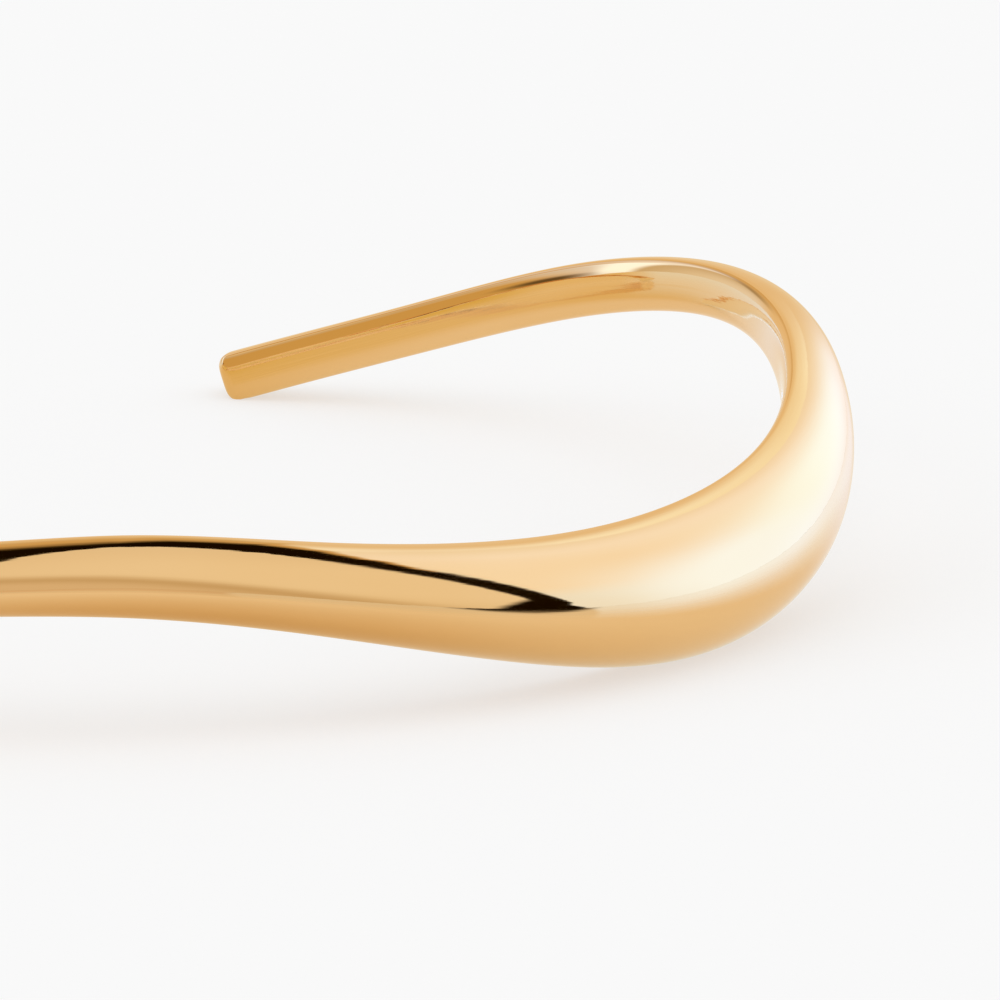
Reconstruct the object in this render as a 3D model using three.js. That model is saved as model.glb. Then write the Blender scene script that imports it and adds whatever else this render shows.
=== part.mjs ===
// A wave cuff bangle: one bar of polished gold-coloured metal. It is slim across the
// middle of the front, swells into a broad bulge at each front corner, and thins again
// into two arms that rise over a crest at the sides and come down to two blunt ends.
//
// Millimetres, +Z up. The bangle lies on its side as it rests by itself: it touches the
// plane Z = 0 under its two bulges and its two ends. The middle of the front is towards
// -Y, the gap between the ends towards +Y, and the origin is the middle of its footprint.

import * as THREE from 'three';
import { NURBSCurve } from 'three/addons/curves/NURBSCurve.js';
import { mergeVertices } from 'three/addons/utils/BufferGeometryUtils.js';

// ---- Driving dimensions ----------------------------------------------------------------

// The oval round the wrist that the inner face follows. A squareness of 2 is an ellipse,
// and more pushes its corners out.
const WRIST = { halfWidth: 29, halfDepth: 26, squareness: 2.2 };

// The bar, square to its run, is two half superellipses back to back: a domed outer face
// and a nearly flat inner face. The rail runs along the joint between them.
const SECTION = {
	innerDepth: 0.6, // from the rail in to the inner face
	outerPower: 2.1,
	innerPower: 3.2,
	points: 32,
};

// A row for each section, from the middle of the front to the right-hand end. The left
// half mirrors them. The bar runs near each row as a cubic B-spline, not quite through it.
//   turn   round the wrist from the middle of the front, in degrees
//   rise   of the section's middle
//   width  of the bar, up and down
//   dome   from the rail out to the crown of the outer face
const ROWS = [
	{ turn: 0, rise: 4.9, width: 2.1, dome: 2.2 },
	{ turn: 15, rise: 5.3, width: 2.7, dome: 2.4 },
	{ turn: 29, rise: 4.25, width: 2.9, dome: 2.6 },
	{ turn: 44, rise: 2.9, width: 4.1, dome: 3.0 },
	{ turn: 58, rise: 2.2, width: 5.5, dome: 3.0 },
	{ turn: 73, rise: 3.2, width: 5.0, dome: 2.5 },
	{ turn: 87, rise: 5.25, width: 3.3, dome: 1.8 },
	{ turn: 102, rise: 6.7, width: 1.9, dome: 1.2 },
	{ turn: 116, rise: 6.9, width: 1.9, dome: 1.3 },
	{ turn: 131, rise: 5.5, width: 2.0, dome: 1.5 },
	{ turn: 145, rise: 3.0, width: 1.8, dome: 1.6 },
	{ turn: 160.5, rise: 0.62, width: 1.8, dome: 1.8 },
];

const END_RADIUS = 0.5; // of the edge round each blunt end
const REST_FLAT = 0.08; // how deep the flats polished under the bulges and ends are cut

// Rings of facets along the bar.
const BODY_RINGS = 101;
const END_RINGS = 4; // in the rounding of one end

// ---- The bar's run ---------------------------------------------------------------------

const DEGREE = 3;
const TINY = 1e-4; // a step along the run, as a share of it, for slopes

/** A uniform cubic B-spline that starts at the first point given and ends at the last. */
function spline( points ) {

	const [ first, second ] = points;
	const [ beforeLast, last ] = points.slice( - 2 );
	const controls = [
		first.clone().multiplyScalar( 2 ).sub( second ),
		...points,
		last.clone().multiplyScalar( 2 ).sub( beforeLast ),
	];
	const knots = Array.from( { length: controls.length + DEGREE + 1 }, ( _, i ) => i );
	return new NURBSCurve( DEGREE, knots, controls, DEGREE, controls.length );

}

/** The rows of the whole bar, from the right-hand end round the front to the left-hand. */
const mirrored = ROWS.slice( 1 ).map( ( row ) => ( { ...row, turn: - row.turn } ) );
const wholeBar = [ ...ROWS.toReversed(), ...mirrored ];

const runSpline = spline( wholeBar.map( ( r ) => new THREE.Vector3( r.turn, r.rise, 0 ) ) );
const sizeSpline = spline( wholeBar.map( ( r ) => new THREE.Vector3( r.width, r.dome, 0 ) ) );

/** The way outwards from the wrist oval at a point on it. */
function outwards( { x, y } ) {

	const { halfWidth, halfDepth, squareness } = WRIST;
	const slope = ( along, half ) =>
		Math.sign( along ) * Math.abs( along / half ) ** ( squareness - 1 ) / half;
	return new THREE.Vector3( slope( x, halfWidth ), slope( y, halfDepth ), 0 ).normalize();

}

/** Where the rail is at a share of the way along it, and the way outwards there. */
function rail( share ) {

	const { x: turn, y: rise } = runSpline.getPoint( share );
	const angle = THREE.MathUtils.degToRad( turn );
	const [ across, back ] = [ Math.sin( angle ), - Math.cos( angle ) ];
	const { halfWidth, halfDepth, squareness } = WRIST;
	const reach = (
		Math.abs( across / halfWidth ) ** squareness + Math.abs( back / halfDepth ) ** squareness
	) ** ( - 1 / squareness );
	const onWrist = new THREE.Vector3( reach * across, reach * back, rise );
	const outward = outwards( onWrist );
	return { point: onWrist.addScaledVector( outward, SECTION.innerDepth ), outward };

}

/** How far a quarter-round edge of the end's radius has cut in, at a distance from the end. */
function endCut( distance ) {

	const left = END_RADIUS - Math.min( distance, END_RADIUS );
	return END_RADIUS - Math.sqrt( END_RADIUS ** 2 - left ** 2 );

}

/** The shares along the rail at which rings of facets lie: close together in the round
 * edge of each end, and evenly between. */
function ringShares( railLength ) {

	const turnIn = Array.from( { length: END_RINGS }, ( _, i ) => {

		const angle = 0.5 * Math.PI * i / END_RINGS;
		return END_RADIUS * ( 1 - Math.cos( angle ) ) / railLength;

	} );
	const inset = END_RADIUS / railLength;
	const body = Array.from( { length: BODY_RINGS }, ( _, i ) =>
		THREE.MathUtils.lerp( inset, 1 - inset, i / ( BODY_RINGS - 1 ) ) );
	return [ ...turnIn, ...body, ...turnIn.toReversed().map( ( share ) => 1 - share ) ];

}

/** The frame and half sizes of the bar's section at a share along the rail. */
function sectionAt( share, railLength ) {

	const { point, outward } = rail( share );
	const ahead = rail( Math.min( share + TINY, 1 ) ).point;
	const behind = rail( Math.max( share - TINY, 0 ) ).point;
	const along = ahead.sub( behind ).normalize();
	const size = sizeSpline.getPoint( share );
	const cut = endCut( Math.min( share, 1 - share ) * railLength );
	return {
		point,
		outward,
		up: along.cross( outward ),
		halfWidth: size.x / 2 - cut,
		dome: size.y - cut,
		innerDepth: SECTION.innerDepth - cut,
	};

}

// ---- The solid -------------------------------------------------------------------------

/** The bar's section at unit size: +X out through the dome, +Y up. */
function unitSection() {

	const { points, outerPower, innerPower } = SECTION;
	return new THREE.Shape( Array.from( { length: points }, ( _, i ) => {

		const angle = 2 * Math.PI * i / points;
		const [ x, y ] = [ Math.cos( angle ), Math.sin( angle ) ];
		const power = x > 0 ? outerPower : innerPower;
		const reach = ( Math.abs( x ) ** power + Math.abs( y ) ** power ) ** ( - 1 / power );
		return new THREE.Vector2( reach * x, reach * y );

	} ) );

}

/** The straight unit bar, swelled, waved and bent round the wrist. */
function cuffGeometry() {

	const speedAtEnd = rail( 0 ).point.distanceTo( rail( TINY ).point ) / TINY;
	const rings = ringShares( speedAtEnd ).map( ( share ) => sectionAt( share, speedAtEnd ) );
	const bar = new THREE.ExtrudeGeometry( unitSection(), {
		depth: 1,
		steps: rings.length - 1,
		bevelEnabled: false,
	} );

	const position = bar.getAttribute( 'position' );
	for ( let i = 0; i < position.count; i ++ ) {

		const [ x, y, z ] = [ position.getX( i ), position.getY( i ), position.getZ( i ) ];
		const ring = rings[ Math.round( z * ( rings.length - 1 ) ) ];
		const vertex = ring.point.clone()
			.addScaledVector( ring.outward, x * ( x > 0 ? ring.dome : ring.innerDepth ) )
			.addScaledVector( ring.up, y * ring.halfWidth );
		position.setXYZ( i, ...vertex );

	}

	bar.deleteAttribute( 'normal' );
	bar.deleteAttribute( 'uv' );
	const cuff = restOnPlane( mergeVertices( bar ) );
	cuff.computeVertexNormals();
	return cuff;

}

/** Sets the bangle down on Z = 0 over the origin, with its small flats cut where it rests. */
function restOnPlane( geometry ) {

	geometry.computeBoundingBox();
	const { min, max } = geometry.boundingBox;
	geometry.translate( 0, - ( min.y + max.y ) / 2, - min.z - REST_FLAT );
	const position = geometry.getAttribute( 'position' );
	for ( let i = 0; i < position.count; i ++ ) {

		position.setZ( i, Math.max( position.getZ( i ), 0 ) );

	}

	return geometry;

}

const gold = new THREE.MeshStandardMaterial( {
	color: 0xe5b071,
	roughness: 0.08,
	metalness: 1,
} );

const cuff = new THREE.Mesh( cuffGeometry(), gold );
cuff.name = 'cuff';

const bangle = new THREE.Group();
bangle.add( cuff );

export default bangle;
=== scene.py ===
"""A wave cuff bangle in mirror-polished gold, lying on a pale studio floor.

The bangle is one bar. Geometry Nodes work its surface out from a short table of rows: the
rows are blended into a run round the wrist, a straight bar is bent along that run, and its
domed outside, nearly flat inside and rounded ends are forged by formulas. The bar stands
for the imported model's one solid and lies where that does, to a hundredth of a millimetre.

Lengths are in metres and angles in degrees unless a name says otherwise. +Z is up, the
middle of the bangle's front is towards -Y and the gap between its ends towards +Y.
"""

from __future__ import annotations

import logging
import math
from dataclasses import dataclass, fields
from enum import Enum
from typing import Any, Union

import bpy
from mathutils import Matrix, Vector


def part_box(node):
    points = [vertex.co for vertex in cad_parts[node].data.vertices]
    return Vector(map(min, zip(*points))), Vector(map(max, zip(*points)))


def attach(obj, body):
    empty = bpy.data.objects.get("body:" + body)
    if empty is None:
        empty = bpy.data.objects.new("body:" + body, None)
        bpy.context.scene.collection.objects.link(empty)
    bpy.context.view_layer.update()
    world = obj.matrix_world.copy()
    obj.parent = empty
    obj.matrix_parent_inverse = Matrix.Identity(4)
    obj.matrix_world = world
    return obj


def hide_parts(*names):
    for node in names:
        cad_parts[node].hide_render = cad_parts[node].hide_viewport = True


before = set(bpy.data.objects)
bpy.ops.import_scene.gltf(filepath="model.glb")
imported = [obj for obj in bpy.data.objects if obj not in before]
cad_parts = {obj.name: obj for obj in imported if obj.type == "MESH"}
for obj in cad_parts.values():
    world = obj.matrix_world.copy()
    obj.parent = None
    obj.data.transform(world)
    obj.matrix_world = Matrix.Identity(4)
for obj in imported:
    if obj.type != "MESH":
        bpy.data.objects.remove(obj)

log = logging.getLogger("bangle")

MM = 0.001
SECOND_MIRRORING = 1.5  # a glossy depth between a ray's first mirroring and its second


# ---- Node trees written as arithmetic ----------------------------------------------------


class Socketed:
    """Anything that a node tree works out, held as the socket that gives it."""

    def __init__(self, tree: bpy.types.NodeTree, socket: bpy.types.NodeSocket) -> None:
        """Holds a socket and the tree it is in.

        Args:
            tree: the tree that the socket's node belongs to.
            socket: the output socket.
        """
        self.tree = tree
        self.socket = socket


Feed = Union[Socketed, float, int, bool, str, tuple, Vector, bpy.types.ID]


def feed(tree: bpy.types.NodeTree, socket: bpy.types.NodeSocket, value: Feed) -> None:
    """Gives an input socket its value, as a link or as a constant.

    Args:
        tree: the tree that the socket's node belongs to.
        socket: the input socket.
        value: what a node works out, or a plain constant.
    """
    if isinstance(value, Socketed):
        tree.links.new(value.socket, socket)
    else:
        socket.default_value = value


class Number(Socketed):
    """A number that a node tree works out. Arithmetic on it adds Math nodes."""

    def math(self, operation: str, *others: Number | float) -> Number:
        """Adds one Math node that reads this first.

        Args:
            operation: the node's operation.
            others: the operands after this one.

        Returns:
            The node's result.
        """
        return self._worked(operation, self, *others)

    def _worked(self, operation: str, *operands: Number | float) -> Number:
        """Adds one Math node and feeds its operands in order."""
        node = self.tree.nodes.new("ShaderNodeMath")
        node.operation = operation
        for socket, value in zip(node.inputs, operands):
            feed(self.tree, socket, value)
        return Number(self.tree, node.outputs[0])

    def __add__(self, other: Number | float) -> Number:
        """This plus other."""
        return self.math("ADD", other)

    def __sub__(self, other: Number | float) -> Number:
        """This minus other."""
        return self.math("SUBTRACT", other)

    def __rsub__(self, other: float) -> Number:
        """A constant minus this."""
        return self._worked("SUBTRACT", other, self)

    def __mul__(self, other: Number | float) -> Number:
        """This times other."""
        return self.math("MULTIPLY", other)

    def __truediv__(self, other: Number | float) -> Number:
        """This over other."""
        return self.math("DIVIDE", other)

    def __rtruediv__(self, other: float) -> Number:
        """A constant over this."""
        return self._worked("DIVIDE", other, self)

    def __pow__(self, other: Number | float) -> Number:
        """This to the power of other."""
        return self.math("POWER", other)

    __radd__ = __add__
    __rmul__ = __mul__

    def size(self) -> Number:
        """This without its sign."""
        return self.math("ABSOLUTE")

    def sign(self) -> Number:
        """-1, 0 or 1, as this is below, at or above nought."""
        return self.math("SIGN")

    def exceeds(self, other: Number | float) -> Number:
        """1 where this is greater than other, and 0 elsewhere."""
        return self.math("GREATER_THAN", other)

    def eased(self, start: Number | float, end: Number | float) -> Number:
        """Rises smoothly from 0 where this is at start to 1 where it is at end.

        Args:
            start: where the rise begins; it may be above end, for a fall.
            end: where the rise is over.

        Returns:
            The eased share, held at 0 and 1 outside the two.
        """
        node = self.tree.nodes.new("ShaderNodeMapRange")
        node.interpolation_type = "SMOOTHSTEP"
        feed(self.tree, node.inputs["Value"], self)
        feed(self.tree, node.inputs["From Min"], start)
        feed(self.tree, node.inputs["From Max"], end)
        return Number(self.tree, node.outputs["Result"])


class Arrow(Socketed):
    """A vector that a node tree works out. Arithmetic on it adds Vector Math nodes."""

    @classmethod
    def of(cls, tree: bpy.types.NodeTree, *parts: Number | float) -> Arrow:
        """Joins up to three numbers into a vector.

        Args:
            tree: the tree to add the node to.
            parts: X, Y and Z; what is left out is nought.

        Returns:
            The vector.
        """
        node = tree.nodes.new("ShaderNodeCombineXYZ")
        for socket, value in zip(node.inputs, parts):
            feed(tree, socket, value)
        return cls(tree, node.outputs[0])

    def _node(self, operation: str, *others: Arrow | Number | float) -> bpy.types.Node:
        """Adds one Vector Math node and feeds its operands in order."""
        node = self.tree.nodes.new("ShaderNodeVectorMath")
        node.operation = operation
        wanted = [s for s in node.inputs if s.enabled]
        for socket, value in zip(wanted, (self, *others)):
            feed(self.tree, socket, value)
        return node

    def _arrow(self, operation: str, *others: Arrow | Number | float) -> Arrow:
        """One Vector Math node whose result is a vector."""
        return Arrow(self.tree, self._node(operation, *others).outputs["Vector"])

    def __add__(self, other: Arrow) -> Arrow:
        """This plus other."""
        return self._arrow("ADD", other)

    def __mul__(self, factor: Number | float) -> Arrow:
        """This scaled by a factor."""
        return self._arrow("SCALE", factor)

    def cross(self, other: Arrow) -> Arrow:
        """The vector at right angles to this and other."""
        return self._arrow("CROSS_PRODUCT", other)

    def unit(self) -> Arrow:
        """This at a length of one."""
        return self._arrow("NORMALIZE")

    def stretched(self, factors: tuple[float, float, float]) -> Arrow:
        """This with each axis scaled by its own factor."""
        return self._arrow("MULTIPLY", factors)

    def distance(self, other: Arrow | tuple[float, float, float]) -> Number:
        """How far this is from other."""
        return Number(self.tree, self._node("DISTANCE", other).outputs["Value"])

    def dot(self, other: Arrow | Vector) -> Number:
        """The dot product of this and other."""
        return Number(self.tree, self._node("DOT_PRODUCT", other).outputs["Value"])

    def parts(self) -> tuple[Number, Number, Number]:
        """X, Y and Z of this, each as a number."""
        node = self.tree.nodes.new("ShaderNodeSeparateXYZ")
        feed(self.tree, node.inputs[0], self)
        x, y, z = (Number(self.tree, socket) for socket in node.outputs)
        return x, y, z


class Graph:
    """Writes a node tree, a node at a time."""

    def __init__(self, tree: bpy.types.NodeTree) -> None:
        """Starts on a tree.

        Args:
            tree: the tree, whose old nodes are cleared away.
        """
        self.tree = tree
        tree.nodes.clear()

    def add(
        self, kind: str, feeds: dict[str | int, Feed] | None = None, **options: Any
    ) -> bpy.types.Node:
        """Adds a node.

        Args:
            kind: the node's type.
            feeds: what each input takes, by its name or its place.
            options: the node's own options, set before its inputs are fed.

        Returns:
            The node.
        """
        node = self.tree.nodes.new(kind)
        for name, option in options.items():
            setattr(node, name, option)
        for name, value in (feeds or {}).items():
            feed(self.tree, node.inputs[name], value)
        return node

    def out(self, node: bpy.types.Node, output: str | int = 0) -> Socketed:
        """One output of a node, as it is."""
        return Socketed(self.tree, node.outputs[output])

    def number(self, node: bpy.types.Node, output: str | int = 0) -> Number:
        """One output of a node, as a number."""
        return Number(self.tree, node.outputs[output])

    def arrow(self, node: bpy.types.Node, output: str | int = 0) -> Arrow:
        """One output of a node, as a vector."""
        return Arrow(self.tree, node.outputs[output])

    def mixed(self, share: Number, under: Feed, over: Feed) -> Socketed:
        """Lays one colour over another.

        Args:
            share: how much of the upper colour shows.
            under: the lower colour.
            over: the upper colour.

        Returns:
            The mixed colour.
        """
        mix = self.add("ShaderNodeMix", {"Factor": share, 6: under, 7: over}, data_type="RGBA")
        return self.out(mix, 2)

    def noise(self, place: Arrow, size: float, detail: float) -> Number:
        """Smooth noise.

        Args:
            place: where on the piece.
            size: across one of the noise's lumps.
            detail: how many finer layers lie on the first.

        Returns:
            The noise, from 0 to 1, mostly near the middle.
        """
        feeds = {"Vector": place, "Scale": 1.0 / size, "Detail": detail}
        return self.number(self.add("ShaderNodeTexNoise", feeds), "Fac")


# ---- The bangle's sizes ------------------------------------------------------------------


@dataclass(frozen=True)
class Row:
    """One section of the right half of the bar.

    Attributes:
        turn: round the wrist from the middle of the front, in degrees.
        rise: height of the section's middle, in millimetres.
        width: of the bar, up and down, in millimetres.
        dome: from the rail out to the crown of the outer face, in millimetres.
    """

    turn: float
    rise: float
    width: float
    dome: float


# The rows began as a least-squares fit. They were then rounded and adjusted.
ROWS = (
    Row(turn=0, rise=4.9, width=2.1, dome=2.2),
    Row(turn=15, rise=5.3, width=2.7, dome=2.4),
    Row(turn=29, rise=4.25, width=2.9, dome=2.6),
    Row(turn=44, rise=2.9, width=4.1, dome=3.0),
    Row(turn=58, rise=2.2, width=5.5, dome=3.0),
    Row(turn=73, rise=3.2, width=5.0, dome=2.5),
    Row(turn=87, rise=5.25, width=3.3, dome=1.8),
    Row(turn=102, rise=6.7, width=1.9, dome=1.2),
    Row(turn=116, rise=6.9, width=1.9, dome=1.3),
    Row(turn=131, rise=5.5, width=2.0, dome=1.5),
    Row(turn=145, rise=3.0, width=1.8, dome=1.6),
    Row(turn=160.5, rise=0.62, width=1.8, dome=1.8),
)


@dataclass(frozen=True)
class CuffSizes:
    """What the bar's formulas are driven by; each is a named input of the node tree.

    Attributes:
        half_width: of the oval round the wrist that the inner face follows.
        half_depth: of the same oval, from the front to the gap.
        squareness: power of the oval; 2 is an ellipse.
        inner_depth: from the rail in to the inner face.
        outer_power: roundness of the domed outer face; 2 is an ellipse.
        inner_power: roundness of the inner face; more is flatter.
        end_radius: of the rounding at each blunt end.
        top: height of the crest over what the bangle lies on.
        rings: of faces along the bar; an odd number, so that one lies at the middle.
        end_rings: how many of them share the rounding of one end.
        around: corners of each ring.
    """

    half_width: float = 29 * MM
    half_depth: float = 26 * MM
    squareness: float = 2.2
    inner_depth: float = 0.6 * MM
    outer_power: float = 2.1
    inner_power: float = 3.2
    end_radius: float = 0.5 * MM
    top: float = 7.7 * MM
    rings: int = 481
    end_rings: int = 10
    around: int = 144


# ---- The bangle --------------------------------------------------------------------------


class BarTree:
    """The node tree that forges the bar from the rows, with a named input for each size."""

    RUN_POINTS = 2201
    INTEGERS = ("rings", "end_rings", "around")

    def __init__(self, sizes: CuffSizes, material: bpy.types.Material) -> None:
        """Keeps what the tree's inputs take.

        Args:
            sizes: the bar's sizes.
            material: what the finished bar wears.
        """
        self.sizes = sizes
        self.tree = bpy.data.node_groups.new("forge_bar", "GeometryNodeTree")
        self.graph = Graph(self.tree)
        self._inputs = self._interface()
        self._material = material

    def _interface(self) -> dict[str, Socketed]:
        """Makes the tree's inputs and output.

        Returns:
            Each input's socket by its name: the rows and the sizes.
        """
        interface = self.tree.interface
        interface.new_socket("Geometry", in_out="OUTPUT", socket_type="NodeSocketGeometry")
        interface.new_socket("Rows", in_out="INPUT", socket_type="NodeSocketGeometry")
        for size in fields(self.sizes):
            kind = "NodeSocketInt" if size.name in self.INTEGERS else "NodeSocketFloat"
            interface.new_socket(self.title(size.name), in_out="INPUT", socket_type=kind)
        source = self.graph.add("NodeGroupInput")
        names = [size.name for size in fields(self.sizes)]
        named = {name: self.graph.number(source, self.title(name)) for name in names}
        return {"rows": self.graph.out(source, "Rows"), **named}

    @staticmethod
    def title(name: str) -> str:
        """A field's name as the title of an input."""
        return name.replace("_", " ").capitalize()

    def set_inputs(self, modifier: bpy.types.NodesModifier) -> None:
        """Fills the modifier's inputs in from the sizes, by their identifiers.

        Args:
            modifier: the Geometry Nodes modifier that uses this tree.
        """
        titles = {self.title(size.name): getattr(self.sizes, size.name) for size in fields(self.sizes)}
        for item in self.tree.interface.items_tree:
            if item.in_out == "INPUT" and item.name in titles:
                modifier[item.identifier] = titles[item.name]

    def build(self) -> bpy.types.NodeTree:
        """Writes the nodes.

        Returns:
            The tree, ready for a modifier.
        """
        rail = self._rail()
        bar = self._straight_bar()
        bent = self._bend(bar, rail)
        seated = self._seat(bent)
        smooth = self.graph.add("GeometryNodeSetShadeSmooth", {"Geometry": seated})
        real = self.graph.add("GeometryNodeRealizeInstances", {"Geometry": self.graph.out(smooth)})
        dressed = self.graph.add(
            "GeometryNodeSetMaterial",
            {"Geometry": self.graph.out(real), "Material": self._material},
        )
        self.graph.add("NodeGroupOutput", {"Geometry": self.graph.out(dressed)})
        return self.tree

    def _stored(self, shape: Socketed, name: str, value: Feed) -> Socketed:
        """A shape with a vector stored on each of its points under a name."""
        feeds = {"Geometry": shape, "Name": name, "Value": value}
        kind = "GeometryNodeStoreNamedAttribute"
        return self.graph.out(self.graph.add(kind, feeds, data_type="FLOAT_VECTOR"))

    def _recalled(self, name: str) -> Socketed:
        """The vector that is stored under a name."""
        kind = "GeometryNodeInputNamedAttribute"
        node = self.graph.add(kind, {"Name": name}, data_type="FLOAT_VECTOR")
        return self.graph.out(node, "Attribute")

    def _moved(self, shape: Socketed, **feeds: Feed) -> Socketed:
        """A shape with its points moved, to a Position or by an Offset."""
        return self.graph.out(
            self.graph.add("GeometryNodeSetPosition", {"Geometry": shape, **feeds})
        )

    # -- The run of the bar round the wrist --

    def _blended(self, field: Socketed, step: Number) -> Arrow:
        """Blends the rows' values by a uniform cubic B-spline.

        Args:
            field: the value of each row, a vector.
            step: how far along the rows, in rows, from the first one that the bar reaches.

        Returns:
            The blended value.
        """
        first = step.math("FLOOR")
        past = step - first
        left = 1.0 - past
        square = past * past
        cube = square * past
        weights = (
            left * left * left,
            cube * 3.0 - square * 6.0 + 4.0,
            cube * -3.0 + square * 3.0 + past * 3.0 + 1.0,
            cube,
        )
        blend = None
        for offset, weight in enumerate(weights):
            row = self.graph.add(
                "GeometryNodeSampleIndex",
                {"Geometry": self._inputs["rows"], "Value": field, "Index": first + float(offset)},
                data_type="FLOAT_VECTOR",
                clamp=True,
            )
            share = self.graph.arrow(row) * (weight / 6.0)
            blend = share if blend is None else blend + share
        return blend

    def _on_wrist(self, turn: Number) -> tuple[Arrow, Arrow]:
        """The place on the wrist's oval at a turn, and the way outwards there.

        Args:
            turn: round the wrist from the middle of the front, in degrees.

        Returns:
            The place, level with the origin, and the outward direction.
        """
        half_width, half_depth = self._inputs["half_width"], self._inputs["half_depth"]
        power = self._inputs["squareness"]
        angle = turn.math("RADIANS")
        across = angle.math("SINE")
        back = angle.math("COSINE") * -1.0
        total = (across / half_width).size() ** power + (back / half_depth).size() ** power
        reach = total ** (-1.0 / power)
        x, y = reach * across, reach * back
        slope = power - 1.0
        outward = Arrow.of(
            self.tree,
            x.sign() * (x / half_width).size() ** slope / half_width,
            y.sign() * (y / half_depth).size() ** slope / half_depth,
        )
        return Arrow.of(self.tree, x, y), outward.unit()

    def _rail(self) -> Socketed:
        """Lays the rail: the line along the bar where its inner and outer halves meet.

        Returns:
            The rail as a curve, each point with the way outwards and the section's sizes.
        """
        rows = self._inputs["rows"]
        line = self.graph.add("GeometryNodeMeshLine", {"Count": self.RUN_POINTS})
        count = self.graph.add("GeometryNodeAttributeDomainSize", {"Geometry": rows})
        spans = self.graph.number(count, "Point Count") - 3.0
        index = self.graph.number(self.graph.add("GeometryNodeInputIndex"))
        step = index * (spans / (self.RUN_POINTS - 1.0))
        place = self.graph.out(self.graph.add("GeometryNodeInputPosition"))
        section = self._recalled("section")
        turn, rise, _ = self._blended(place, step).parts()
        on_wrist, outward = self._on_wrist(turn)
        upward = Arrow.of(self.tree, 0.0, 0.0, rise)
        on_rail = on_wrist + outward * self._inputs["inner_depth"] + upward
        kept = self._stored(self.graph.out(line), "size", self._blended(section, step))
        kept = self._stored(kept, "outward", outward)
        laid = self._moved(kept, Position=on_rail)
        return self.graph.out(self.graph.add("GeometryNodeMeshToCurve", {"Mesh": laid}))

    # -- The solid --

    def _straight_bar(self) -> Socketed:
        """Makes the unit bar: a closed round rod of even rings, one long, upright on its middle."""
        around, rings = self._inputs["around"], self._inputs["rings"]
        rod = self.graph.add(
            "GeometryNodeMeshCylinder",
            {"Vertices": around, "Side Segments": rings - 1.0, "Radius": 1.0, "Depth": 1.0},
            fill_type="NGON",
        )
        return self.graph.out(rod)

    def _ring_place(self, upright: Number, length: Number) -> tuple[Number, Number]:
        """Works out where a ring of the unit bar goes.

        Args:
            upright: the ring's height in the unit bar.
            length: of the rail.

        Returns:
            Its distance along the rail, and how far the end's rounding has cut in there.
        """
        rings, end_rings = self._inputs["rings"], self._inputs["end_rings"]
        radius = self._inputs["end_radius"]
        half = (rings - 1.0) / 2.0
        from_middle = upright * (rings - 1.0)
        from_end = half - from_middle.size()
        bend = (from_end / end_rings).math("MINIMUM", 1.0) * (math.pi / 2)
        even = (length / 2.0 - radius) / (half - end_rings)
        past_rounding = (from_end - end_rings).math("MAXIMUM", 0.0)
        inset = radius * (1.0 - bend.math("COSINE")) + past_rounding * even
        along = length / 2.0 + from_middle.sign() * (length / 2.0 - inset)
        return along, radius * (1.0 - bend.math("SINE"))

    def _sampled(self, rail: Socketed, along: Number, name: str) -> bpy.types.Node:
        """Reads the rail at a distance along it.

        Args:
            rail: the rail's curve.
            along: the distance.
            name: the stored vector to read there.

        Returns:
            The node that gives the value, the place and the tangent.
        """
        return self.graph.add(
            "GeometryNodeSampleCurve",
            {"Curves": rail, "Value": self._recalled(name), "Length": along},
            data_type="FLOAT_VECTOR",
            mode="LENGTH",
        )

    def _bend(self, bar: Socketed, rail: Socketed) -> Socketed:
        """Bends the unit bar along the rail, with each ring square to it and of its own section.

        Args:
            bar: the unit bar.
            rail: the rail's curve.

        Returns:
            The bent bar, each corner with its place in the straight bar as "bar_place".
        """
        unit = self.graph.arrow(self.graph.add("GeometryNodeInputPosition"))
        out, up, upright = unit.parts()
        length = self.graph.number(self.graph.add("GeometryNodeCurveLength", {"Curve": rail}))
        along, cut = self._ring_place(upright, length)
        at = self._sampled(rail, along, "outward")
        outward = self.graph.arrow(at, "Value").unit()
        upward = self.graph.arrow(at, "Tangent").cross(outward).unit()
        width, dome, _ = self.graph.arrow(self._sampled(rail, along, "size"), "Value").parts()
        inner_depth = self._inputs["inner_depth"]
        domed = out.exceeds(0.0)
        power = self._chosen(domed, self._inputs["inner_power"], self._inputs["outer_power"])
        reach = (out.size() ** power + up.size() ** power) ** (-1.0 / power)
        depth = self._chosen(domed, inner_depth, dome) - cut
        aside = reach * out * depth
        above = reach * up * (width / 2.0 - cut)
        marked = self._stored(bar, "bar_place", Arrow.of(self.tree, along, aside, above))
        place = self.graph.arrow(at, "Position") + outward * aside + upward * above
        return self._moved(marked, Position=place)

    @staticmethod
    def _chosen(switch: Number, off: Number, on: Number) -> Number:
        """Off where the switch is 0, and on where it is 1."""
        return off + (on - off) * switch

    def _seat(self, bar: Socketed) -> Socketed:
        """Sets the bar down with its crest at the stated top and flats where it meets the floor.

        Args:
            bar: the bent bar.

        Returns:
            The seated bar, its footprint's middle over the origin.
        """
        box = self.graph.add("GeometryNodeBoundBox", {"Geometry": bar})
        _, front, _ = self.graph.arrow(box, "Min").parts()
        _, back, crest = self.graph.arrow(box, "Max").parts()
        shift = Arrow.of(self.tree, 0.0, (front + back) * -0.5, self._inputs["top"] - crest)
        moved = self._moved(bar, Offset=shift)
        place = self.graph.arrow(self.graph.add("GeometryNodeInputPosition"))
        x, y, z = place.parts()
        flat = Arrow.of(self.tree, x, y, z.math("MAXIMUM", 0.0))
        return self._moved(moved, Position=flat)


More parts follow.
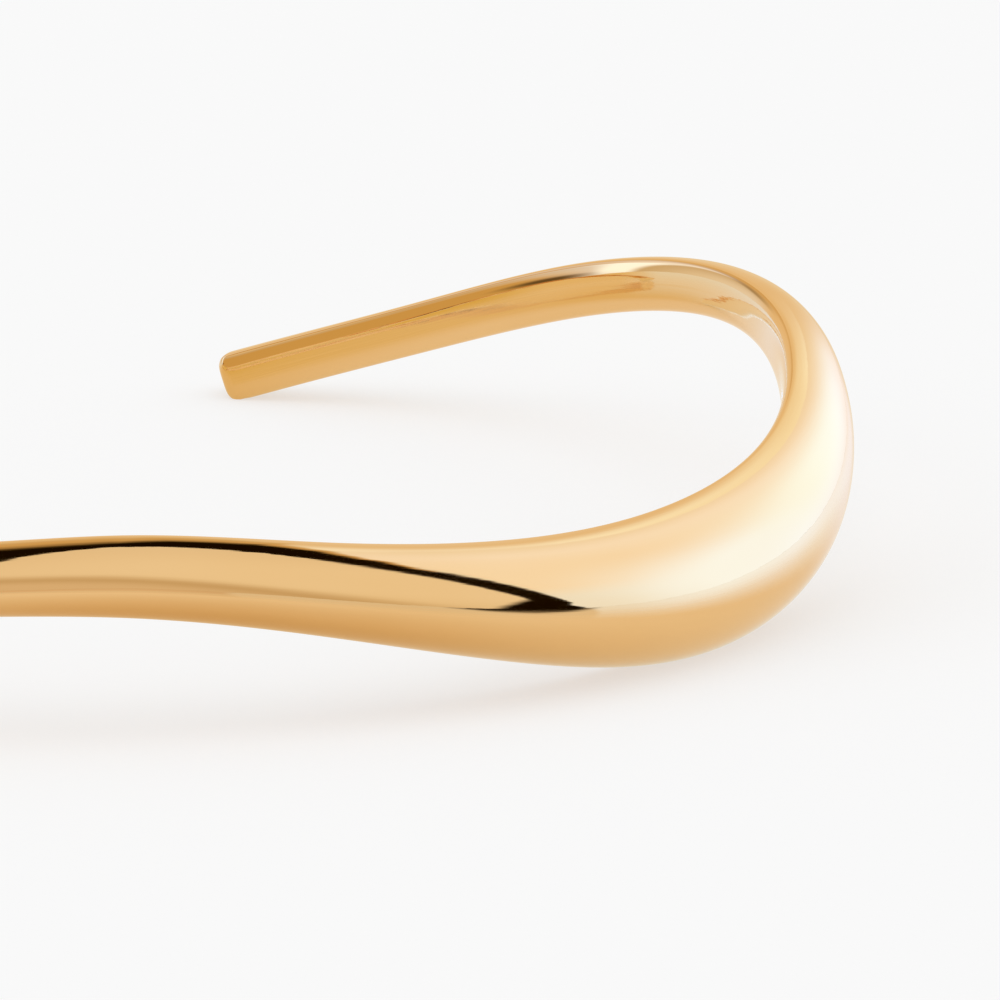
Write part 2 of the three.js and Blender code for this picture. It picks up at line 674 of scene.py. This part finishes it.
class Cuff:
    """The bangle itself, in one piece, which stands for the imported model's solid."""

    NODE = "cuff"
    NAME = "polished_cuff"
    SLOT = "gold"

    def __init__(self, gold: bpy.types.Material) -> None:
        """Takes the crest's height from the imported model.

        Args:
            gold: the finish that the bangle wears.
        """
        self.sizes = CuffSizes(top=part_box(self.NODE)[1].z)
        self.gold = gold

    @staticmethod
    def whole_bar() -> list[Row]:
        """The rows of the whole bar, right-hand end to left-hand end, with one more past each.

        Returns:
            The rows, in order of travel.
        """
        left = [Row(-row.turn, row.rise, row.width, row.dome) for row in ROWS[1:]]
        rows = [*reversed(ROWS), *left]
        return [Cuff.beyond(rows[0], rows[1]), *rows, Cuff.beyond(rows[-1], rows[-2])]

    @staticmethod
    def beyond(end: Row, before: Row) -> Row:
        """The row that makes the spline stop exactly at an end row.

        Args:
            end: the bar's end row.
            before: the row next to it.

        Returns:
            The row as far past the end as the one before is short of it.
        """
        pairs = ((getattr(end, f.name), getattr(before, f.name)) for f in fields(Row))
        return Row(*(2 * here - there for here, there in pairs))

    def _rows_mesh(self) -> bpy.types.Mesh:
        """Puts the rows in a mesh, a point each, whose place is its turn and rise.

        Returns:
            The mesh, with the section's sizes stored on each point.
        """
        rows = self.whole_bar()
        mesh = bpy.data.meshes.new("rows")
        mesh.from_pydata([(row.turn, row.rise * MM, 0.0) for row in rows], [], [])
        section = mesh.attributes.new("section", "FLOAT_VECTOR", "POINT")
        sizes = [size for row in rows for size in (row.width * MM, row.dome * MM, 0.0)]
        section.data.foreach_set("vector", sizes)
        return mesh

    def build(self) -> bpy.types.Object:
        """Forges the bar and makes the result a plain mesh.

        Returns:
            The bangle, in place.
        """
        piece = bpy.data.objects.new(self.NAME, self._rows_mesh())
        bpy.context.scene.collection.objects.link(piece)
        bar_tree = BarTree(self.sizes, self.gold)
        modifier = piece.modifiers.new("forge", "NODES")
        modifier.node_group = bar_tree.build()
        bar_tree.set_inputs(modifier)
        evaluated = piece.evaluated_get(bpy.context.evaluated_depsgraph_get())
        mesh = bpy.data.meshes.new_from_object(evaluated)
        piece.modifiers.remove(modifier)
        piece.data = mesh
        mesh.name = self.NAME
        return piece

    def dress(self, piece: bpy.types.Object) -> None:
        """Seats the bangle on its body and hides the imported part that it stands for.

        Args:
            piece: the finished bangle.
        """
        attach(piece, "root")
        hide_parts(self.NODE)


# ---- Finishes ----------------------------------------------------------------------------


Colour = tuple[float, float, float]


def opaque(colour: Colour) -> tuple[float, float, float, float]:
    """A colour with full cover, as colour sockets take it."""
    return (*colour, 1.0)


def new_material(name: str) -> tuple[bpy.types.Material, Graph]:
    """Starts a material of a name, and its nodes."""
    material = bpy.data.materials.new(name)
    material.use_nodes = True
    return material, Graph(material.node_tree)


class Polish(Enum):
    """How far a surface's finish was taken; the value is its roughness."""

    MIRROR = 0.03
    SHEEN = 0.035


@dataclass(frozen=True)
class PolishedGold:
    """Gold-coloured metal, buffed to a mirror by a wheel that ran along the bar.

    Attributes:
        warm: the metal's colour in most places.
        pale: its colour where the alloy lies a touch paler.
        edge_tint: what the metal returns at a glance.
        cloud_size: across a patch of paler metal.
        cloud_span: of the noise, from where a patch starts to where it is full.
        polish: how far the buffing was taken.
        haze: how much rougher the most worn patches are.
        haze_size: across a worn patch.
        haze_span: of the noise, as for the paler patches.
        line_width: across one buffing line.
        line_length: along one buffing line.
        line_depth: of the deepest lines.
        line_haze: how much rougher a line is than the metal beside it.
        line_span: of the noise, as for the paler patches.
        ripple_size: across one of the gentle waves that the hammer left under the polish.
        ripple_depth: of those waves.
    """

    warm: Colour = (0.825, 0.498, 0.208)
    pale: Colour = (0.837, 0.515, 0.225)
    edge_tint: Colour = (1.0, 0.97, 0.92)
    cloud_size: float = 9 * MM
    cloud_span: tuple[float, float] = (0.35, 0.7)
    polish: Polish = Polish.MIRROR
    haze: float = 0.02
    haze_size: float = 3.5 * MM
    haze_span: tuple[float, float] = (0.4, 0.8)
    line_width: float = 0.09 * MM
    line_length: float = 4.5 * MM
    line_depth: float = 0.0012 * MM
    line_haze: float = 0.015
    line_span: tuple[float, float] = (0.55, 0.75)
    ripple_size: float = 5 * MM
    ripple_depth: float = 0.002 * MM

    def make(self) -> bpy.types.Material:
        """Writes the material.

        Returns:
            The material.
        """
        material, graph = new_material("polished_gold")
        place = graph.arrow(graph.add("ShaderNodeTexCoord"), "Object")
        on_bar = graph.arrow(graph.add("ShaderNodeAttribute", attribute_name="bar_place"), "Vector")
        across, along = 1.0 / self.line_width, 1.0 / self.line_length
        lines = graph.noise(on_bar.stretched((along, across, across)), size=1.0, detail=3.0)
        clouds = graph.noise(place, self.cloud_size, detail=2.0).eased(*self.cloud_span)
        worn = graph.noise(place, self.haze_size, detail=4.0).eased(*self.haze_span)
        ripples = graph.noise(place, self.ripple_size, detail=1.0)
        alloy = graph.mixed(clouds, opaque(self.warm), opaque(self.pale))
        rough = worn * self.haze + lines.eased(*self.line_span) * self.line_haze
        bump = graph.add(
            "ShaderNodeBump",
            {"Distance": 1.0, "Height": ripples * self.ripple_depth + lines * self.line_depth},
        )
        metal = graph.add(
            "ShaderNodeBsdfPrincipled",
            {
                "Base Color": alloy,
                "Metallic": 1.0,
                "Specular Tint": opaque(self.edge_tint),
                "Roughness": rough + self.polish.value,
                "Normal": graph.out(bump),
            },
        )
        graph.add("ShaderNodeOutputMaterial", {"Surface": graph.out(metal)})
        return material


@dataclass(frozen=True)
class MilkyAcrylic:
    """The floor's finish: white acrylic with a fine tooth, with a painted glow that pales its shadows.

    The painted warm shade and the plain glow, their middle and their reaches are a least-squares fit,
    rounded.

    Attributes:
        colour: of the light that it sends back.
        shade: the same in the hollows of its tooth.
        tooth: across one of the tooth's grains.
        depth: of the tooth.
        glow: a painted glow over the whole floor, though no lamp is under it, which pales the shadows
            on it.
        warm_glow: painted shade, warmed as by light off the gold, that the metal mirrors in the floor
            close to the bangle.
        plain_glow: the painted glow that the metal mirrors in the floor further off.
        warm_middle: of the place where the painted shade is.
        warm_reach: how far from there the painted shade starts to pale.
        plain_reach: how far from there it is plain.
        arm_glow: painted shade, warmed as by light off the gold, that the metal mirrors in the floor
            close to the right-hand end.
        arm_middle: of the place where that is.
        arm_reach: how far from there the arm's painted shade starts to fade.
        arm_end: how far from there it has faded.
        inner_glow: painted light, paler and bluer than the floor, that the metal shows where it
            mirrors the floor by way of more metal, inside the wrist hollow.
        sheen: colour of the sheen that the metal mirrors.
        polish: of that sheen.
        sheen_start: how far a look slants before the sheen shows, from 0, straight down, to 1.
    """

    colour: Colour = (0.4, 0.4, 0.4)
    shade: Colour = (0.394, 0.394, 0.394)
    tooth: float = 0.35 * MM
    depth: float = 0.002 * MM
    glow: Colour = (0.567, 0.567, 0.567)
    warm_glow: Colour = (0.38, 0.22, 0.0)
    plain_glow: Colour = (0.58, 0.58, 0.55)
    warm_middle: tuple[float, float, float] = (8 * MM, -17.5 * MM, 0.0)
    warm_reach: float = 2 * MM
    plain_reach: float = 22.5 * MM
    arm_glow: Colour = (0.5, 0.4, 0.12)
    arm_middle: tuple[float, float, float] = (2 * MM, 23 * MM, 0.0)
    arm_reach: float = 3 * MM
    arm_end: float = 13 * MM
    inner_glow: Colour = (0.7, 1.25, 2.3)
    sheen: Colour = (0.96, 0.92, 0.88)
    polish: Polish = Polish.SHEEN
    sheen_start: float = 0.64

    def make(self) -> bpy.types.Material:
        """Writes the material.

        Returns:
            The material.
        """
        material, graph = new_material("milky_acrylic")
        material.cycles.emission_sampling = "NONE"
        rays = graph.add("ShaderNodeLightPath")
        mirrored = graph.number(rays, "Is Glossy Ray")
        twice = graph.number(rays, "Glossy Depth").exceeds(SECOND_MIRRORING)
        slant = graph.number(graph.add("ShaderNodeLayerWeight", {"Blend": 0.5}), "Facing")
        gloss = graph.add(
            "ShaderNodeBsdfAnisotropic",
            {"Color": opaque(self.sheen), "Roughness": self.polish.value},
        )
        surface = graph.add(
            "ShaderNodeMixShader",
            {
                0: slant.eased(self.sheen_start, 1.0) * (mirrored - twice),
                1: self._matt(graph, mirrored, twice),
                2: graph.out(gloss),
            },
        )
        graph.add("ShaderNodeOutputMaterial", {"Surface": graph.out(surface)})
        return material

    def _matt(self, graph: Graph, mirrored: Number, twice: Number) -> Socketed:
        """The acrylic without its sheen: what it sends back, and its painted glow with the painted
        shade and light that the metal sees in it.

        Args:
            graph: the material's nodes.
            mirrored: 1 where the metal mirrors it, and 0 where the eye sees it.
            twice: 1 where the metal mirrors it by way of more metal.

        Returns:
            The shader.
        """
        place = graph.arrow(graph.add("ShaderNodeTexCoord"), "Object")
        grain = graph.noise(place, self.tooth, detail=2.0)
        tone = graph.mixed(grain, opaque(self.shade), opaque(self.colour))
        bump = graph.add("ShaderNodeBump", {"Distance": 1.0, "Height": grain * self.depth})
        matt = graph.add("ShaderNodeBsdfDiffuse", {"Color": tone, "Normal": graph.out(bump)})
        # Painted shade as the metal mirrors the floor: warmer and darker close to the bangle, plain
        # further off.
        away = place.distance(self.warm_middle).eased(self.warm_reach, self.plain_reach)
        by_front = graph.mixed(away, opaque(self.warm_glow), opaque(self.plain_glow))
        # Painted shade as the metal mirrors the floor close to the right-hand end.
        near_arm = place.distance(self.arm_middle).eased(self.arm_end, self.arm_reach)
        once = graph.mixed(near_arm, by_front, opaque(self.arm_glow))
        # Painted light: the floor is paler and bluer where the metal mirrors it by way of more metal.
        in_metal = graph.mixed(twice, once, opaque(self.inner_glow))
        # Painted glow: the floor glows evenly for the eye though it is no lamp, which pales its
        # shadows; the metal sees the painted shade and light above.
        seen = graph.mixed(mirrored, opaque(self.glow), in_metal)
        glow = graph.add("ShaderNodeEmission", {"Color": seen})
        return graph.out(graph.add("ShaderNodeAddShader", {0: graph.out(matt), 1: graph.out(glow)}))


# ---- The studio --------------------------------------------------------------------------


def towards(azimuth: float, elevation: float) -> Vector:
    """A direction in the studio.

    Args:
        azimuth: in degrees, from the front of the bangle (-Y), turning towards its right (+X).
        elevation: in degrees above the floor.

    Returns:
        The direction, of length one.
    """
    turn, lift = math.radians(azimuth), math.radians(elevation)
    return Vector((math.cos(lift) * math.sin(turn), -math.cos(lift) * math.cos(turn), math.sin(lift)))


@dataclass(frozen=True)
class Disc:
    """A round patch of the studio's walls as they look from the bangle, in degrees.

    Attributes:
        azimuth: of its middle.
        elevation: of its middle.
        radius: out to half way through its soft edge.
        softness: across that edge.
    """

    azimuth: float
    elevation: float
    radius: float
    softness: float = 0.6

    def cover(self, direction: Arrow) -> Number:
        """How much of the patch is seen in a direction.

        Args:
            direction: where the bangle's surface looks.

        Returns:
            From 0 outside the patch to 1 inside it.
        """
        middle = towards(self.azimuth, self.elevation)
        turned = direction.dot(middle).math("ARCCOSINE").math("DEGREES")
        half = self.softness / 2
        return turned.eased(self.radius + half, self.radius - half)


@dataclass(frozen=True)
class Card:
    """A card or panel of the studio that only the metal's reflections show: a painted reflection on
    the surroundings, which lights nothing.

    Attributes:
        name: what it is.
        shape: the patches that it lies within, all at once.
        colour: that the reflections show there.
        twice_only: whether it shows only at a second mirroring, as in the floor's sheen or
            where the metal mirrors more metal.
    """

    name: str
    shape: tuple[Disc, ...]
    colour: Colour
    twice_only: bool = False


class Floor:
    """The table top that the bangle lies on, which runs out to the horizon."""

    def __init__(self, finish: bpy.types.Material, reach: float = 6.0) -> None:
        """Keeps what the floor is made from.

        Args:
            finish: its material.
            reach: from its middle to its edges.
        """
        self.finish = finish
        self.reach = reach

    def build(self) -> bpy.types.Object:
        """Lays the floor.

        Returns:
            The floor.
        """
        r = self.reach
        mesh = bpy.data.meshes.new("floor")
        mesh.from_pydata([(-r, -r, 0), (r, -r, 0), (r, r, 0), (-r, r, 0)], [], [(0, 1, 2, 3)])
        mesh.materials.append(self.finish)
        floor = bpy.data.objects.new("floor", mesh)
        bpy.context.scene.collection.objects.link(floor)
        return floor


@dataclass(frozen=True)
class FlagCloth:
    """The black flag's finish, a painted reflection that glows: brown gauze at its hem, which thickens
    upwards into black cloth.

    Attributes:
        gauze: colour of the painted glow that the gauze sends, which only the metal's reflections
            show.
        cloth: the same for the cloth.
        thick: how far up the hem, as a share of it, the gauze hides what is behind it.
        cover: name of the stored share of the way up the hem.
    """

    gauze: Colour = (0.71, 0.52, 0.23)
    cloth: Colour = (0.01, 0.005, 0.0)
    thick: float = 0.45
    cover: str = "cover"

    def make(self) -> bpy.types.Material:
        """Writes the material.

        Returns:
            The material.
        """
        material, graph = new_material("flag_cloth")
        material.cycles.emission_sampling = "NONE"
        up_hem = graph.number(graph.add("ShaderNodeAttribute", attribute_name=self.cover), "Fac")
        tone = graph.mixed(up_hem.eased(self.thick, 1.0), opaque(self.gauze), opaque(self.cloth))
        surface = graph.add(
            "ShaderNodeMixShader",
            {
                0: up_hem.eased(0.0, self.thick),
                1: graph.out(graph.add("ShaderNodeBsdfTransparent")),
                2: graph.out(graph.add("ShaderNodeEmission", {"Color": tone})),
            },
        )
        graph.add("ShaderNodeOutputMaterial", {"Surface": graph.out(surface)})
        return material


@dataclass(frozen=True)
class FlagLine:
    """One upright line of the black flag, with its heights over the floor in millimetres.

    Attributes:
        across: from the middle of the bangle, towards its right.
        hem: where the gauze starts.
        cloth: where the gauze has thickened into cloth.
        top: of the cloth.
    """

    across: float
    hem: float
    cloth: float
    top: float


class BlackFlag:
    """A flag hung behind the bangle, which only the metal shows: the dark line along its front."""

    COVER = (0.0, 1.0, 1.0)  # share of the way up the hem, at a line's three heights

    # A program traced this table through the mirror image in the metal, and it was adjusted after
    # that. An outline that is chosen by hand is still wanted here.
    LINES = (
        FlagLine(across=-30, hem=30, cloth=90, top=420),
        FlagLine(across=-8, hem=24, cloth=74, top=173),
        FlagLine(across=-5, hem=23, cloth=72, top=128),
        FlagLine(across=-2, hem=22, cloth=70, top=108),
        FlagLine(across=2, hem=22, cloth=68, top=91),
        FlagLine(across=6, hem=24, cloth=64, top=82),
        FlagLine(across=12, hem=22, cloth=51, top=79),
        FlagLine(across=16, hem=24, cloth=48.5, top=78),
        FlagLine(across=18, hem=34, cloth=45.5, top=78),
        FlagLine(across=20, hem=39, cloth=48, top=78),
        FlagLine(across=22, hem=44.5, cloth=51.5, top=78.5),
        FlagLine(across=25, hem=51, cloth=56, top=79.5),
        FlagLine(across=27, hem=57, cloth=61, top=81.5),
        FlagLine(across=30, hem=64, cloth=67.5, top=84),
        FlagLine(across=37, hem=79, cloth=82, top=94),
        FlagLine(across=44, hem=90.5, cloth=93.5, top=105),
        FlagLine(across=52, hem=105, cloth=108, top=117),
        FlagLine(across=64, hem=124.5, cloth=127.5, top=136),
        FlagLine(across=76, hem=142.5, cloth=145.5, top=155),
        FlagLine(across=98, hem=171.5, cloth=174.5, top=182),
    )

    def __init__(self, finish: FlagCloth, behind: float = 60 * MM) -> None:
        """Keeps what the flag is made from.

        Args:
            finish: of its cloth.
            behind: from the middle of the bangle back to the flag.
        """
        self.finish = finish
        self.behind = behind

    def build(self) -> bpy.types.Object:
        """Hangs the flag where the metal alone sees it.

        Returns:
            The flag.
        """
        corners = [
            (line.across * MM, self.behind, height * MM)
            for line in self.LINES
            for height in (line.hem, line.cloth, line.top)
        ]
        step = len(self.COVER)
        lowest = [
            start + row
            for start in range(0, len(corners) - step, step)
            for row in range(step - 1)
        ]
        faces = [(low, low + step, low + step + 1, low + 1) for low in lowest]
        mesh = bpy.data.meshes.new("black_flag")
        mesh.from_pydata(corners, [], faces)
        mesh.materials.append(self.finish.make())
        cover = mesh.attributes.new(self.finish.cover, "FLOAT", "POINT")
        cover.data.foreach_set("value", list(self.COVER) * len(self.LINES))
        flag = bpy.data.objects.new("black_flag", mesh)
        flag.visible_camera = False
        flag.visible_diffuse = False
        flag.visible_shadow = False
        bpy.context.scene.collection.objects.link(flag)
        return flag


@dataclass(frozen=True)
class Softbox:
    """A broad lamp, so far away that its light falls alike on the whole floor.

    Attributes:
        name: of the lamp.
        azimuth: from where its light comes.
        elevation: from where its light comes.
        power: of its light on a surface square to it.
        spread: across the lamp as the bangle sees it, in degrees.
    """

    name: str
    azimuth: float
    elevation: float
    power: float
    spread: float

    def build(self) -> bpy.types.Object:
        """Hangs the lamp.

        Returns:
            The lamp.
        """
        light = bpy.data.lights.new(self.name, "SUN")
        light.energy = self.power
        light.angle = math.radians(self.spread)
        lamp = bpy.data.objects.new(self.name, light)
        lamp.rotation_mode = "QUATERNION"
        lamp.rotation_quaternion = towards(self.azimuth, self.elevation).to_track_quat("Z", "Y")
        lamp.visible_glossy = False
        bpy.context.scene.collection.objects.link(lamp)
        return lamp


class Surroundings:
    """The studio's pale walls, and the cards painted on them that only the metal's reflections show.
    """

    WALL = 0.75
    BACKDROP = 0.95
    AMBIENT = (0.9, 0.9, 0.85)
    RIGHT_PANEL = Disc(125, 5.4, 50.5)
    # Set from a worked-out map of what the metal has to see, with a fit as a guide.
    CARDS = (
        Card("overhead_light", (Disc(85, 48, 50, 55),), (1.0, 1.06, 1.12)),
        Card("left_wall_edge", (Disc(-50, -30, 98, 22),), (0.7, 0.64, 0.52)),
        Card("left_wall", (Disc(-50, -30, 80, 20),), (0.82, 0.78, 0.72)),
        Card("tan_card", (Disc(-60, 15, 38, 14),), (0.72, 0.56, 0.26)),
        Card("left_panel_glow", (Disc(-139, -15, 48, 22),), (1.0, 1.35, 2.3)),
        Card("left_panel", (Disc(-139, -15, 45, 4), Disc(-120, 15, 26, 16)), (1.3, 1.85, 3.1)),
        Card("left_screen", (Disc(-139, -15, 37, 4),), (0.72, 0.7, 0.62)),
        Card("left_screen_middle", (Disc(-139, -15, 28, 24),), (0.93, 1.02, 1.15)),
        Card("brown_card", (Disc(-88, 6, 7, 10),), (0.16, 0.12, 0.06)),
        Card("right_panel_frame", (Disc(122.6, 5, 53.4),), (0.01, 0.005, 0.0)),
        Card("right_panel_stand", (Disc(116, -17, 59, 3), Disc(66, 0, 26, 6)), (0.01, 0.005, 0.0)),
        Card("back_screen", (Disc(-178, 12, 26, 6),), (0.98, 0.95, 0.73)),
        Card("back_slit", (Disc(-153, 18, 6.5, 7),), (0.33, 0.3, 0.22)),
        Card("back_light", (Disc(164, 20, 15, 13),), (1.14, 1.34, 1.42)),
        Card("right_panel", (RIGHT_PANEL,), (1.12, 1.28, 1.6)),
        Card("right_panel_corner", (Disc(80.5, 6, 7.5, 1),), (1.05, 1.4, 2.15)),
        Card("right_panel_near", (RIGHT_PANEL, Disc(80, 5, 26, 24)), (1.05, 1.4, 2.15)),
        Card("right_panel_lamp", (RIGHT_PANEL, Disc(118, 10, 28, 30)), (1.17, 1.78, 3.35)),
        Card("right_panel_far_lamp", (RIGHT_PANEL, Disc(147, 19, 15, 24)), (1.18, 1.78, 2.95)),
        Card("right_panel_far_edge", (RIGHT_PANEL, Disc(-150, 10, 41, 20)), (1.0, 1.04, 0.92)),
        Card("back_shade", (Disc(-170, 4, 22, 12),), (0.9, 0.77, 0.51)),
        Card("back_carpet", (Disc(-133, 9, 31, 14),), (0.98, 1.25, 1.7), twice_only=True),
        Card("middle_carpet", (Disc(-88, 3, 19, 12),), (0.95, 0.9, 0.6), twice_only=True),
        Card("left_carpet", (Disc(-42, 0, 36, 16),), (0.86, 0.76, 0.3), twice_only=True),
        Card("right_carpet", (Disc(50, 8, 26, 2),), (0.9, 1.0, 1.12), twice_only=True),
        Card("right_panel_foot", (Disc(64, -5, 13, 5),), (0.01, 0.005, 0.0), twice_only=True),
    )

    def build(self) -> bpy.types.World:
        """Writes the surroundings' nodes.

        Returns:
            The world.
        """
        world = bpy.data.worlds.new("studio")
        world.use_nodes = True
        world.cycles.sampling_method = "NONE"
        graph = Graph(world.node_tree)
        direction = graph.arrow(graph.add("ShaderNodeTexCoord"), "Generated")
        rays = graph.add("ShaderNodeLightPath")
        twice = graph.number(rays, "Glossy Depth").exceeds(SECOND_MIRRORING)
        seen: Feed = opaque(self.AMBIENT)
        for card in self.CARDS:
            cover = self._cover(card, direction)
            shown = cover * twice if card.twice_only else cover
            seen = graph.mixed(shown, seen, opaque(card.colour))
        wall, backdrop = opaque((self.WALL,) * 3), opaque((self.BACKDROP,) * 3)
        walls = graph.mixed(graph.number(rays, "Is Camera Ray"), wall, backdrop)
        colour = graph.mixed(graph.number(rays, "Is Glossy Ray"), walls, seen)
        light = graph.add("ShaderNodeBackground", {"Color": colour})
        graph.add("ShaderNodeOutputWorld", {"Surface": graph.out(light)})
        bpy.context.scene.world = world
        return world

    @staticmethod
    def _cover(card: Card, direction: Arrow) -> Number:
        """How much of a card is seen in a direction, from 0 to 1."""
        cover, *others = (disc.cover(direction) for disc in card.shape)
        for other in others:
            cover = cover * other
        return cover


@dataclass(frozen=True)
class Camera:
    """A long lens, a little above the floor, in front of the bangle.

    Its aim, elevation and focal length are a least-squares fit, rounded.

    Attributes:
        aim: the point that the lens looks straight at.
        elevation: of the camera as seen from there, in degrees.
        distance: from there to the camera.
        focal_length: in millimetres.
        sensor: across the sensor, in millimetres.
        near: the nearest thing that the camera shows.
        far: the furthest thing that the camera shows.
    """

    aim: tuple[float, float, float] = (19.2 * MM, 0.766 * MM, 1.808 * MM)
    elevation: float = 12.54
    distance: float = 450 * MM
    focal_length: float = 464.6
    sensor: float = 36.0
    near: float = 10 * MM
    far: float = 30.0

    def build(self) -> bpy.types.Object:
        """Sets the camera up and makes it the scene's.

        Returns:
            The camera.
        """
        lens = bpy.data.cameras.new("camera")
        lens.lens = self.focal_length
        lens.sensor_width = self.sensor
        lens.clip_start = self.near
        lens.clip_end = self.far
        lens.dof.use_dof = False
        camera = bpy.data.objects.new("camera", lens)
        back = towards(0, self.elevation)
        camera.location = Vector(self.aim) + back * self.distance
        camera.rotation_mode = "QUATERNION"
        camera.rotation_quaternion = back.to_track_quat("Z", "Y")
        bpy.context.scene.collection.objects.link(camera)
        bpy.context.scene.camera = camera
        return camera


class Studio:
    """Everything round the bangle: the floor, the lamps, the walls and the camera."""

    LAMPS = (
        Softbox("overhead", azimuth=20, elevation=75, power=0.4, spread=70),
        Softbox("right_side", azimuth=100, elevation=25, power=0.3, spread=50),
        Softbox("left_side", azimuth=-65, elevation=30, power=0.3, spread=40),
    )

    def build(self) -> None:
        """Sets the studio up and shows colours as they are, with no film look."""
        bpy.context.scene.view_settings.view_transform = "Standard"
        Camera().build()
        Floor(MilkyAcrylic().make()).build()
        Surroundings().build()
        BlackFlag(FlagCloth()).build()
        for lamp in self.LAMPS:
            lamp.build()


# ---- Making it all -----------------------------------------------------------------------


def report(piece: bpy.types.Object) -> None:
    """Says what a finished piece came to.

    Args:
        piece: the piece.
    """
    across, deep, high = (length / MM for length in piece.dimensions)
    count = len(piece.data.polygons)
    log.info("%s: %.2f x %.2f x %.2f mm, %d faces", piece.name, across, deep, high, count)


def main() -> None:
    """Builds the bangle and the studio round it."""
    logging.basicConfig(level=logging.INFO, format="%(name)s: %(message)s")
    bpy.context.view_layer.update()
    Studio().build()
    cuff = Cuff(PolishedGold().make())
    piece = cuff.build()
    cuff.dress(piece)
    report(piece)
    bpy.context.view_layer.update()


if __name__ == "__main__":
    main()
